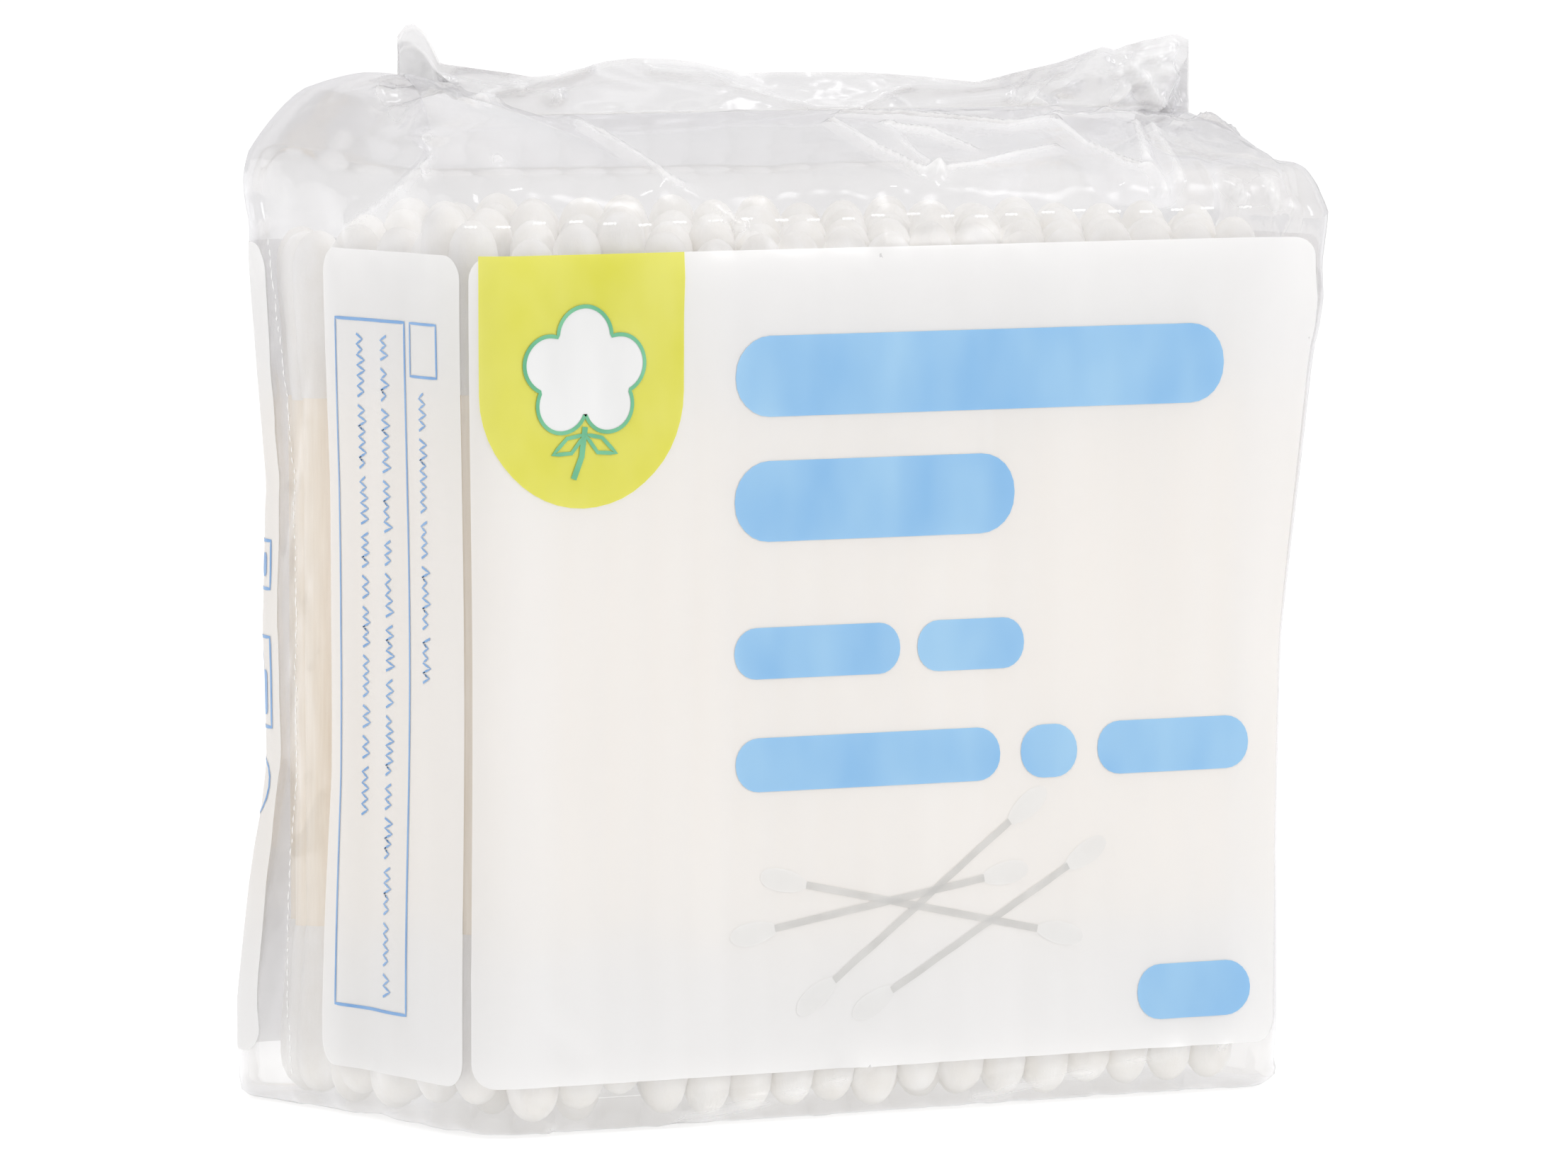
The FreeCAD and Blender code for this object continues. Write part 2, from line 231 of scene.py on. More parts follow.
def add_math(tree, operation, first, second):
    """A sum or the like of an output and a number or another output."""
    node = add_node(tree, "Math")
    node.operation = operation
    tree.links.new(first, node.inputs[0])
    if isinstance(second, float):
        node.inputs[1].default_value = second
    else:
        tree.links.new(second, node.inputs[1])
    return node


def add_mix(tree, share, first, second):
    """A mix of two shaders."""
    node = add_node(tree, "MixShader")
    if isinstance(share, float):
        node.inputs["Fac"].default_value = share
    else:
        tree.links.new(share, node.inputs["Fac"])
    tree.links.new(first, node.inputs[1])
    tree.links.new(second, node.inputs[2])
    return node.outputs["Shader"]


def add_attribute(tree, name):
    node = add_node(tree, "Attribute")
    node.attribute_name = name
    return node.outputs["Fac"]


def place_noise(tree, stretch, scale, detail=3.0, roughness=0.5):
    """A noise over the pack's own coordinates, stretched along its axes."""
    place = add_node(tree, "TexCoord")
    mapping = add_node(tree, "Mapping", {"Scale": stretch})
    noise = add_node(tree, "TexNoise", {"Scale": scale, "Detail": detail, "Roughness": roughness})
    tree.links.new(place.outputs["Object"], mapping.inputs["Vector"])
    tree.links.new(mapping.outputs["Vector"], noise.inputs["Vector"])
    return noise.outputs["Fac"]


def ramp(tree, fac, stops):
    node = add_node(tree, "ValToRGB")
    node.color_ramp.elements[0].position = stops[0][0]
    node.color_ramp.elements[0].color = stops[0][1]
    node.color_ramp.elements[1].position = stops[-1][0]
    node.color_ramp.elements[1].color = stops[-1][1]
    for position, colour in stops[1:-1]:
        node.color_ramp.elements.new(position).color = colour
    tree.links.new(fac, node.inputs["Fac"])
    return node.outputs["Color"]


def bump(tree, height, strength, distance):
    node = add_node(tree, "Bump", {"Strength": strength, "Distance": distance})
    tree.links.new(height, node.inputs["Height"])
    return node.outputs["Normal"]


def grey(value):
    return (value, value, value, 1.0)


def film_material():
    """Thin clear film: it lets light through, a little dimmed, mirrors more at a slant and is faintly milky.
    The mesh's own values say where folding whitened it, where highlights on its folds are painted as whiter
    film, and which part it is: 0 foot, 0.5 wall, 1 fin."""
    material, tree, output = new_material("clear_film")
    tint = ramp(tree, add_attribute(tree, "film_part"), (
        (0.0, (0.93, 0.925, 0.922, 1.0)),
        (0.5, (0.855, 0.850, 0.856, 1.0)),
        (1.0, (0.888, 0.884, 0.889, 1.0)),
    ))
    clear = add_node(tree, "BsdfTransparent")
    tree.links.new(tint, clear.inputs["Color"])
    normal = bump(tree, place_noise(tree, (1.0, 1.0, 0.6), 420.0, 4.0), 0.06, 0.0004)
    gloss = add_node(tree, "BsdfGlossy", {"Roughness": 0.11, "Color": (0.98, 0.98, 1.0, 1.0)})
    tree.links.new(normal, gloss.inputs["Normal"])
    mirror = add_node(tree, "Fresnel", {"IOR": 1.42})
    tree.links.new(normal, mirror.inputs["Normal"])
    both_faces = add_math(tree, "MULTIPLY", mirror.outputs["Fac"], 1.7)
    limit = add_math(tree, "MINIMUM", both_faces.outputs["Value"], 0.42)
    milk = add_node(tree, "BsdfDiffuse", {"Color": (0.84, 0.837, 0.84, 1.0)})
    noise = place_noise(tree, (1.0, 1.0, 0.7), 90.0, 4.0, 0.6)
    cloud = ramp(tree, noise, ((0.35, grey(0.07)), (0.75, grey(0.15))))
    # Folds' real whitening and their painted highlights make the film milkier here.
    white = add_math(tree, "ADD", cloud, add_attribute(tree, "whitening_and_painted_glint"))
    white.use_clamp = True
    hazed = add_mix(tree, white.outputs["Value"], clear.outputs["BSDF"], milk.outputs["BSDF"])
    coated = add_mix(tree, limit.outputs["Value"], hazed, gloss.outputs["BSDF"])
    tree.links.new(coated, output.inputs["Surface"])
    return material


def worked_film_material():
    """Film that was stretched or cut through: whiter than the rest, and it glints."""
    material, tree, output = new_material("worked_film")
    shader = add_node(tree, "BsdfPrincipled", {"Roughness": 0.22, "Specular IOR Level": 0.8, "Alpha": 0.62})
    tone = place_noise(tree, (1.0, 1.0, 1.0), 900.0, 2.0)
    tree.links.new(ramp(tree, tone, ((0.3, grey(0.90)), (0.7, grey(0.99)))), shader.inputs["Base Color"])
    tree.links.new(shader.outputs["BSDF"], output.inputs["Surface"])
    return material


def cotton_material():
    """Wound cotton: matt, warm white, with fibres and soft lumps, and a faint warm painted glow that lifts
    its shade.
    """
    material, tree, output = new_material("wound_cotton")
    # The emission is a faint warm painted glow that lifts the cotton's shade; the cotton is no lamp.
    shader = add_node(tree, "BsdfPrincipled", {
        "Roughness": 0.95, "Specular IOR Level": 0.15, "Sheen Weight": 0.35, "Sheen Roughness": 0.6,
        "Emission Color": (1.0, 0.95, 0.88, 1.0), "Emission Strength": 0.045,
    })
    lumps = place_noise(tree, (1.0, 1.0, 0.55), 520.0, 3.0)
    colour = ramp(tree, lumps, ((0.3, (0.92, 0.90, 0.86, 1.0)), (0.7, (0.97, 0.965, 0.95, 1.0))))
    tree.links.new(colour, shader.inputs["Base Color"])
    fibres = place_noise(tree, (1.0, 1.0, 0.35), 4200.0, 5.0, 0.7)
    tree.links.new(bump(tree, fibres, 0.55, 0.00012), shader.inputs["Normal"])
    tree.links.new(shader.outputs["BSDF"], output.inputs["Surface"])
    return material


def stick_material():
    """Rolled paper, slightly warm, with a lengthwise grain, and a warm painted glow that lifts its shade."""
    material, tree, output = new_material("rolled_paper")
    # The emission is a warm painted glow that lifts the sticks' shade; the paper is no lamp.
    shader = add_node(tree, "BsdfPrincipled", {
        "Roughness": 0.7, "Specular IOR Level": 0.3,
        "Emission Color": (1.0, 0.87, 0.68, 1.0), "Emission Strength": 0.12,
    })
    grain = place_noise(tree, (1.0, 1.0, 0.06), 2600.0, 3.0)
    colour = ramp(tree, grain, ((0.3, (0.88, 0.80, 0.68, 1.0)), (0.7, (0.95, 0.89, 0.79, 1.0))))
    tree.links.new(colour, shader.inputs["Base Color"])
    tree.links.new(bump(tree, grain, 0.25, 0.0001), shader.inputs["Normal"])
    tree.links.new(shader.outputs["BSDF"], output.inputs["Surface"])
    return material


def ink_material(name, low, high, stretch, scale, cover=0.94, share=0.42):
    """Printed ink on the film: a soft change of colour, nearly opaque, under the film's gloss. Stretched
    upright, as for the white ink, the change of colour is painted shade of the swabs behind.
    """
    material, tree, output = new_material(name)
    shader = add_node(tree, "BsdfPrincipled", {
        "Roughness": 0.34, "Specular IOR Level": 0.45, "Coat Weight": 0.15, "Coat Roughness": 0.16,
        "Alpha": cover,
    })
    tone = place_noise(tree, stretch, scale, 2.0)
    tree.links.new(ramp(tree, tone, ((0.3, low), (0.7, high))), shader.inputs["Base Color"])
    ripple = place_noise(tree, (1.0, 1.0, 0.3), 260.0, 3.0)
    tree.links.new(bump(tree, ripple, 0.12, 0.0005), shader.inputs["Normal"])
    through = add_node(tree, "BsdfTranslucent", {"Color": low})
    thin = add_mix(tree, share, shader.outputs["BSDF"], through.outputs["BSDF"])
    tree.links.new(thin, output.inputs["Surface"])
    return material


film = film_material()
worked_film = worked_film_material()
cotton = cotton_material()
paper = stick_material()
# The white ink's tone runs in upright bands: painted shade of the swabs behind the print.
white_ink_painted_shade = ink_material("white_ink_painted_shade", (0.92, 0.918, 0.92, 1.0), (0.955, 0.952, 0.955, 1.0),
                         (1.0, 1.0, 0.16), 130.0)
green_ink = ink_material("green_ink", (0.78, 0.765, 0.10, 1.0), (0.86, 0.845, 0.20, 1.0),
                         (1.0, 1.0, 0.7), 190.0, 0.97)
outline_ink = ink_material("outline_ink", (0.10, 0.38, 0.21, 1.0), (0.17, 0.48, 0.28, 1.0),
                           (1.0, 1.0, 1.0), 300.0, 1.0, 0.1)
sky_ink = ink_material("sky_ink", (0.23, 0.47, 0.76, 1.0), (0.34, 0.58, 0.81, 1.0),
                       (1.0, 1.0, 0.5), 150.0, 0.97, 0.2)
blue_ink = ink_material("blue_ink", (0.14, 0.31, 0.60, 1.0), (0.20, 0.38, 0.66, 1.0),
                        (1.0, 1.0, 1.0), 300.0, 1.0, 0.1)
pale_ink = ink_material("pale_ink", (0.66, 0.655, 0.645, 1.0), (0.76, 0.755, 0.745, 1.0),
                        (1.0, 1.0, 1.0), 400.0, 1.0)


# The film

def section(left, right, depth, radius, tuck_left, tuck_right):
    """The bag seen from above, counterclockwise from the front left corner. Its ends may be tucked in."""
    in_left, in_right, in_depth = left + radius, right - radius, depth - radius
    quarter = np.linspace(0.0, math.pi / 2.0, corner_cells, endpoint=False)
    across = np.linspace(0.0, 1.0, front_cells, endpoint=False)
    back_across = np.linspace(1.0, 0.0, back_cells, endpoint=False)
    level = np.linspace(-1.0, 1.0, end_cells, endpoint=False)

    def corner(cx, cy, turns):
        start = turns * math.pi / 2.0
        return cx + radius * np.cos(start + quarter), cy + radius * np.sin(start + quarter)

    parts = [
        corner(in_left, -in_depth, 2),
        (in_left + (in_right - in_left) * across, np.full(front_cells, -depth)),
        corner(in_right, -in_depth, 3),
        (right - tuck_right * (1.0 - np.abs(level)), level * in_depth),
        corner(in_right, in_depth, 0),
        (in_left + (in_right - in_left) * back_across, np.full(back_cells, depth)),
        corner(in_left, in_depth, 1),
        (left + tuck_left * (1.0 - np.abs(level)), -level * in_depth),
    ]
    return np.concatenate([x for x, _ in parts]), np.concatenate([y for _, y in parts])


def ridge_height(x):
    from_left = np.clip(1.0 - (x - fin_left) / ridge_end, 0.0, 1.0)
    from_right = np.clip(1.0 - (fin_right - x) / ridge_end, 0.0, 1.0)
    rise = (ridge_left - ridge_middle) * from_left + (ridge_right - ridge_middle) * from_right
    return ridge_middle + rise


def along_fin(x):
    return np.clip((x - fin_left) / (fin_right - fin_left), 0.0, 1.0)


def film_grid():
    """The smooth film, row by row from the middle of the base to the fin's crest, and each row's room."""
    rows, room = [], []
    top_right = right_wall(shoulder)

    def add(x, y, z, free):
        rows.append(np.stack([x, y, np.broadcast_to(z, x.shape)], axis=1))
        room.append(free)

    for t in np.linspace(1.0, 0.0, base_rows, endpoint=False):
        reach = base_inset + (half_depth - base_inset - 0.3) * t
        radius = 3.0 * (1.0 - t) + 0.1
        x, y = section(left_wall + reach, right_foot - reach, half_depth - reach, radius, 0.0, 0.0)
        add(x, y, base_height, 0.0)
    for turn in np.linspace(0.0, math.pi / 2.0, edge_rows, endpoint=False):
        z = edge_height - (edge_height - base_height) * math.cos(turn)
        reach = base_inset * (1.0 - math.sin(turn))
        left, right = left_wall + reach, right_wall(z) - reach
        x, y = section(left, right, half_depth - reach, corner_radius - reach, 0.0, 0.0)
        add(x, y, z, 0.5)
    for z in np.linspace(edge_height, shoulder, wall_rows, endpoint=False):
        x, y = section(left_wall, right_wall(z), half_depth, corner_radius, 0.0, 0.0)
        add(x, y, z, 0.9)
    for t in np.linspace(0.0, 1.0, roof_rows, endpoint=False):
        depth = half_depth * (1.0 - t) + film_gap * t
        left = left_wall + (fin_left - left_wall) * t
        right = top_right + (fin_right - top_right) * t
        tucks = gusset_left * t, gusset_right * math.sin(math.pi * t * 0.8)
        x, y = section(left, right, depth, max(corner_radius * (1.0 - t), film_gap / 2.0), *tucks)
        roundness = round_left + (round_right - round_left) * along_fin(x)
        add(x, y, shoulder + ridge_height(x) * (1.0 - (1.0 - t) ** roundness), 0.45 * depth)
    for level in np.linspace(0.0, 1.0, fin_rows):
        loose = max(0.0, 1.0 - 1.3 * level)
        tucks = gusset_left * loose, gusset_right * math.sin(math.pi * 0.8) * loose
        x, y = section(fin_left, fin_right, film_gap, film_gap / 2.0, *tucks)
        share, height, lean = np.array(fin_crest).T
        height = np.interp(along_fin(x), share, height)
        lean = np.interp(along_fin(x), share, lean)
        add(x, y - lean * level, shoulder + ridge_height(x) + height * level, 0.0)
    grid = np.array(rows)
    low, high = wall_start + wall_rows - 4, wall_start + wall_rows + 9
    for _ in range(shoulder_rounding):
        grid[low:high] = (grid[low - 1:high - 1] + 2.0 * grid[low:high] + grid[low + 1:high + 1]) / 4.0
    return grid, np.array(room)


def grid_normals(grid):
    around = np.roll(grid, -1, axis=1) - np.roll(grid, 1, axis=1)
    upward = np.gradient(grid, axis=0)
    normal = np.cross(around, upward)
    length = np.linalg.norm(normal, axis=2, keepdims=True)
    return normal / np.maximum(length, 1e-9)


def nearest(points, path):
    """How far each point lies from a path, and the share of the path where it is nearest."""
    distance = np.full(points.shape[:-1], 1e9)
    place = np.zeros(points.shape[:-1])
    for i, (start, end) in enumerate(zip(path[:-1], path[1:])):
        start, line = np.array(start), np.array(end) - np.array(start)
        share = np.clip((points - start) @ line / max(line @ line, 1e-9), 0.0, 1.0)
        away = np.linalg.norm(points - start - share[..., None] * line, axis=-1)
        place = np.where(away < distance, (i + share) / (len(path) - 1), place)
        distance = np.minimum(distance, away)
    return distance, place


def fold(points, path, height, reach):
    """A fold: it stands highest on its path and falls off evenly to both sides."""
    return height * np.clip(1.0 - nearest(points, path)[0] / reach, 0.0, None)


def white_line(points, path, height):
    """The whitened line along a fold, partly real whitening and partly a painted highlight, and a fainter
    haze beside it, fading towards the fold's end.
    """
    distance, place = nearest(points, path)
    white = 0.60 * np.clip(1.0 - distance / 0.5, 0.0, None) + 0.16 * np.clip(1.0 - distance / 2.0, 0.0, None)
    return white * height * (1.0 - 0.4 * place)


def crumpled(points, middle, reach, count, longest, height, width):
    """Short random folds between points of the film that lie near its middle."""
    flat = points.reshape(-1, 3)
    near = np.flatnonzero((np.abs(flat - np.array(middle)) < np.array(reach)).all(axis=1))
    total = np.zeros(points.shape[:-1])
    for _ in range(count):
        start = flat[rng.choice(near)]
        around = flat[rng.choice(near, 40)]
        distance = np.linalg.norm(around - start, axis=1)
        fits = around[(distance < longest) & (distance > 0.25 * longest)]
        if len(fits):
            sign = rng.choice((-1.0, 1.0))
            size = rng.uniform(0.35, 1.0)
            total += fold(points, (start, fits[0]), sign * size * height, width * rng.uniform(0.6, 1.4))
    return total


def wall_relief(points):
    """The walls lie on the cotton heads at the top and foot, sag between them and ripple over the sticks."""
    x, y, z = points[..., 0], points[..., 1], points[..., 2]
    height = np.clip(z / shoulder, 0.0, 1.0)
    waist = np.sin(math.pi * np.clip((height - 0.1) / 0.8, 0.0, 1.0)) ** 2
    ripple = np.sin(x * 2.0 * math.pi / 4.0 + 0.6 * np.sin(z * 0.09))
    ripple = ripple + 0.7 * np.sin(x * 0.47 + z * 0.02 + 1.3)
    ends = np.sin(y * 2.0 * math.pi / 7.3 + 0.5 * np.sin(z * 0.11)) + 0.6 * np.sin(y * 0.5 + z * 0.03)
    calm = np.clip((71.0 - z) / 6.0, 0.15, 1.0)
    relief = -0.45 * waist + 0.05 * calm * ripple * (1.0 - 0.4 * waist) + 0.10 * ends
    left_back = np.exp(-((x - left_wall) / 6.0) ** 2) * np.clip(y / half_depth, 0.0, 1.0)
    relief = relief + left_back * np.interp(z, *zip(*left_swell))
    span = np.clip((18.5 - np.abs(x + 4.0)) / 4.0, 0.0, 1.0) * np.where(y < 0.0, 1.0, 0.0)
    relief = relief + span * np.interp(z - np.interp(x, *zip(*lip_edge)), *zip(*front_lip))
    relief = relief + 0.02 * span * np.sin(x * 1.9 + 2.0 * np.sin(z * 0.8)) * np.sin(z * 1.5 + x * 0.4)
    right_side = np.exp(-((x - right_wall(z)) / 5.0) ** 2)
    return relief + right_side * np.interp(z, *zip(*right_swell))


def pouch(points):
    """The roof's back left end stands out, round and smooth."""
    x, y, z = points[..., 0], points[..., 1], points[..., 2]
    reach = np.exp(-((x - left_wall) / 7.0) ** 2) * np.clip((y + 4.0) / 16.0, 0.0, 1.0)
    return pouch_reach * reach * np.clip((z - 73.0) / 5.0, 0.0, 1.0) * np.clip((87.0 - z) / 4.0, 0.0, 1.0)


def shoulder_waves(points):
    """The front's shoulder is uneven, so that no straight line of light runs along it."""
    x, y, z = points[..., 0], points[..., 1], points[..., 2]
    near = np.clip(1.0 - np.abs(z - 76.6) / 2.6, 0.0, 1.0) * np.where(y < 0.0, 1.0, 0.0)
    broad = np.sin(0.8 * x + 1.7 * np.sin(0.31 * x) + 0.6 * z)
    return near * (0.17 * broad + 0.04 * np.sin(2.1 * x - 0.9 * z))


def make_film():
    smooth, room = film_grid()
    normals = grid_normals(smooth)
    relief = sum(fold(smooth, *crease) for crease in creases)
    for crumple in crumples:
        relief = relief + crumpled(smooth, *crumple)
    fade = np.clip((shoulder + 1.0 - smooth[..., 2]) / 4.0, 0.0, 1.0)
    relief = relief + wall_relief(smooth) * fade + pouch(smooth) + shoulder_waves(smooth)
    push = normals * np.clip(relief, -room[:, None], most_relief)[..., None]
    both = np.zeros_like(smooth)
    both[..., 1] = -relief
    foot = len(smooth) - fin_rows
    upper = np.clip((np.arange(len(smooth)) - foot + 12) / 12.0, 0.0, 1.0)[:, None, None]
    push[:base_rows] = 0.0
    grid = smooth + push * (1.0 - upper) + both * upper
    grid[..., 2] = np.maximum(grid[..., 2], lowest_film)
    # Whiter film: real whitening at folds and seals, and painted highlights on folds and on the fin.
    whitening_and_painted_glint = sum(white_line(smooth, path, height) for path, height, _ in creases)
    whitening_and_painted_glint[foot - 1:foot + 1] += 0.10
    whitening_and_painted_glint[foot + 9:foot + 10] += 0.14
    whitening_and_painted_glint[-2:] += 0.25
    x, z = smooth[..., 0], smooth[..., 2]
    band = np.clip((z - 71.0) / 3.0, 0.0, 1.0) * np.clip((80.0 - z) / 4.0, 0.0, 1.0)
    whitening_and_painted_glint += band * (0.07 + 0.08 * np.clip((x + 8.0) / 26.0, 0.0, 1.0))
    # Milky film and painted highlights make these places whiter.
    for middle, reach, white in milky_and_painted_glint_places:
        distance = np.linalg.norm(smooth - np.array(middle), axis=-1)
        whitening_and_painted_glint += white * np.clip(1.4 * (1.0 - distance / reach), 0.0, 1.0)
    whitening_and_painted_glint = np.clip(whitening_and_painted_glint, 0.0, 0.6)
    part = 0.5 + 0.5 * upper[..., 0] - 0.5 * np.clip((6.0 - z) / 3.0, 0.0, 1.0)
    rows, columns = grid.shape[:2]
    index = np.arange(rows * columns).reshape(rows, columns)
    beside = np.roll(index, -1, axis=1)
    faces = np.stack([index[:-1], beside[:-1], beside[1:], index[1:]], axis=-1).reshape(-1, 4)
    piece = mesh_piece("film_skin", grid.reshape(-1, 3), faces.tolist(), film)
    for name, values in (("whitening_and_painted_glint", whitening_and_painted_glint), ("film_part", part)):
        layer = piece.data.attributes.new(name, "FLOAT", "POINT")
        layer.data.foreach_set("value", values.reshape(-1).astype(np.float32))
    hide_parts("film_bag")
    return grid, grid_normals(grid)


film_points, film_normals = make_film()
columns = film_points.shape[1]
arc = corner_radius * math.pi / 2.0
end_flat = 2.0 * (half_depth - corner_radius)


def front_flat(z):
    """The flat width of the front at a height."""
    return right_wall(z) - left_wall - 2.0 * corner_radius


def column_at(s, z):
    """The film's column at s millimetres round the bag from the left end of the front's flat width."""
    front = front_flat(z)
    column, sign, rest = corner_cells, 1.0 if s >= 0.0 else -1.0, abs(s)
    spans = [(arc, corner_cells), (end_flat, end_cells), (arc, corner_cells), (front, back_cells)]
    if s >= 0.0:
        spans.insert(0, (front, front_cells))
    for length, cells in spans:
        if rest <= length:
            return column + sign * cells * rest / length
        rest -= length
        column += sign * cells
    return column


def on_film(s, z, lift):
    """The point on the film at s round the bag and height z, lifted off it."""
    column = column_at(s, z)
    row = wall_start + (z - edge_height) / (shoulder - edge_height) * wall_rows
    c0, r0 = math.floor(column), math.floor(row)
    u, v = column - c0, row - r0
    a, b = c0 % columns, (c0 + 1) % columns

    def mix(table):
        low = table[r0, a] * (1.0 - u) + table[r0, b] * u
        high = table[r0 + 1, a] * (1.0 - u) + table[r0 + 1, b] * u
        return low * (1.0 - v) + high * v

    return mix(film_points) + lift * mix(film_normals)


# Printing on the film: flat shapes in (s, z), laid on the walls

class Print:
    """Shapes of one ink, gathered into one piece."""

    def __init__(self, name, ink, slot, lift, cell=0.7):
        self.name, self.ink, self.slot, self.lift, self.cell = name, ink, slot, lift, cell
        self.points, self.faces = [], []

    def area(self, outline):
        """A filled shape, divided finely enough to follow the film."""
        outline = [tuple(p) for p in outline]
        s = [p[0] for p in outline]
        z = [p[1] for p in outline]
        inner = []
        step = self.cell
        for gs in np.arange(min(s) + 0.5 * step, max(s), step):
            for gz in np.arange(min(z) + 0.5 * step, max(z), step):
                if inside(gs, gz, outline, 0.25 * step):
                    inner.append((gs, gz))
        edge = fine_path(outline, step, True)
        verts = [Vector(p) for p in edge + inner]
        loop = [list(range(len(edge)))]
        made = delaunay_2d_cdt(verts, [], loop, 1, 1e-5)
        first = len(self.points)
        self.points += [on_film(p.x, p.y, self.lift) for p in made[0]]
        self.faces += [[first + i for i in face] for face in made[2]]

    def line(self, path, width, closed=False):
        """A drawn line of even width along a path."""
        path = fine_path([tuple(p) for p in path], 0.6, closed)
        count = len(path)
        left, right = [], []
        for i, (s, z) in enumerate(path):
            if closed:
                before, after = path[i - 1], path[(i + 1) % count]
            else:
                before, after = path[max(i - 1, 0)], path[min(i + 1, count - 1)]
            ds, dz = after[0] - before[0], after[1] - before[1]
            size = math.hypot(ds, dz) or 1.0
            ns, nz = -dz / size * width / 2.0, ds / size * width / 2.0
            left.append((s + ns, z + nz))
            right.append((s - ns, z - nz))
        first = len(self.points)
        self.points += [on_film(s, z, self.lift) for s, z in left + right]
        pairs = count if closed else count - 1
        for i in range(pairs):
            j = (i + 1) % count
            self.faces.append([first + i, first + j, first + count + j, first + count + i][::-1])

    def bar(self, s, z, length, height, roundness=0.48):
        self.area(rounded(s, z, length, height, roundness * min(length, height)))

    def make(self, *nodes):
        faces = [self.outward(face) for face in self.faces]
        piece = mesh_piece(self.name, self.points, faces, self.ink)
        if nodes:
            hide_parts(*nodes)
        return piece

    def outward(self, face):
        a, b, c = (self.points[i] for i in face[:3])
        normal = np.cross(b - a, c - a)
        middle = np.array([0.0, 0.0, a[2]])
        out = np.array([a[0], a[1] * 2.0, a[2]]) - middle
        return face if normal @ out >= 0.0 else face[::-1]


def inside(s, z, outline, margin):
    """Whether a point lies in the outline, and not too near its edge."""
    hit = False
    count = len(outline)
    for i in range(count):
        (s0, z0), (s1, z1) = outline[i], outline[(i + 1) % count]
        if (z0 > z) != (z1 > z) and s < s0 + (z - z0) / (z1 - z0) * (s1 - s0):
            hit = not hit
        line = (s1 - s0) ** 2 + (z1 - z0) ** 2
        share = min(1.0, max(0.0, ((s - s0) * (s1 - s0) + (z - z0) * (z1 - z0)) / max(line, 1e-9)))
        if math.hypot(s - s0 - share * (s1 - s0), z - z0 - share * (z1 - z0)) < margin:
            return False
    return hit


def fine_path(path, step, closed):
    points = []
    count = len(path)
    for i in range(count if closed else count - 1):
        (s0, z0), (s1, z1) = path[i], path[(i + 1) % count]
        parts = max(1, round(math.hypot(s1 - s0, z1 - z0) / step))
        points += [(s0 + (s1 - s0) * k / parts, z0 + (z1 - z0) * k / parts) for k in range(parts)]
    if not closed:
        points.append(path[-1])
    return points


def rounded(s, z, width, height, radius, steps=6):
    """A rectangle with round corners."""
    points = []
    for cs, cz, start in (
        (s + width - radius, z + radius, 270), (s + width - radius, z + height - radius, 0),
        (s + radius, z + height - radius, 90), (s + radius, z + radius, 180),
    ):
        for k in range(steps + 1):
            a = math.radians(start + 90.0 * k / steps)
            points.append((cs + radius * math.cos(a), cz + radius * math.sin(a)))
    return points


print_low = 4.1
print_high = 71.3
print_corner = 2.0
side_width = 23.0
front_start = -4.5
front_beyond = 2.9


def front_end(z):
    return front_flat(z) + front_beyond


def front_field():
    """The front's white field: its right edge leans with the wall."""
    plain = rounded(0.0, print_low, 10.0, print_high - print_low, print_corner)
    return [(front_start + s if s < 5.0 else front_end(z) - (10.0 - s), z) for s, z in plain]


front = Print("front_field", white_ink_painted_shade, "white_print", 0.08, 0.8)
front.area(front_field())
front.make("front_print")

tab_left = front_start + 0.9
tab_width = 18.4
tab_height = 20.5


def tab_shape():
    """The coloured tab: square at the top, a half round at its foot."""
    half = tab_width / 2.0
    middle = tab_left + half
    straight = 0.55 * tab_height
    points = [(tab_left, print_high), (tab_left, print_high - straight)]
    for k in range(1, 24):
        a = math.pi + math.pi * k / 24
        drop = (tab_height - straight) * math.sin(a)
        points.append((middle + half * math.cos(a), print_high - straight + drop))
    points += [(tab_left + tab_width, print_high - straight), (tab_left + tab_width, print_high)]
    return points


tab = Print("front_tab_field", green_ink, "green_print", 0.14)
tab.area(tab_shape())
tab.make("front_tab")


def boll_outline(s, z, size):
    """A cotton boll: five round lobes."""
    lobes = (
        (0.0, 0.62, 0.46), (-0.60, 0.20, 0.44), (-0.40, -0.42, 0.42), (0.40, -0.42, 0.42),
        (0.60, 0.20, 0.44),
    )
    points = []
    for k in range(150):
        a = 2.0 * math.pi * k / 150
        reach = 0.0
        for ls, lz, lr in lobes:
            along = ls * math.cos(a) + lz * math.sin(a)
            off = abs(-ls * math.sin(a) + lz * math.cos(a))
            if off < lr:
                reach = max(reach, along + math.sqrt(lr * lr - off * off))
        points.append((s + size * reach * math.cos(a), z + size * reach * math.sin(a)))
    return points


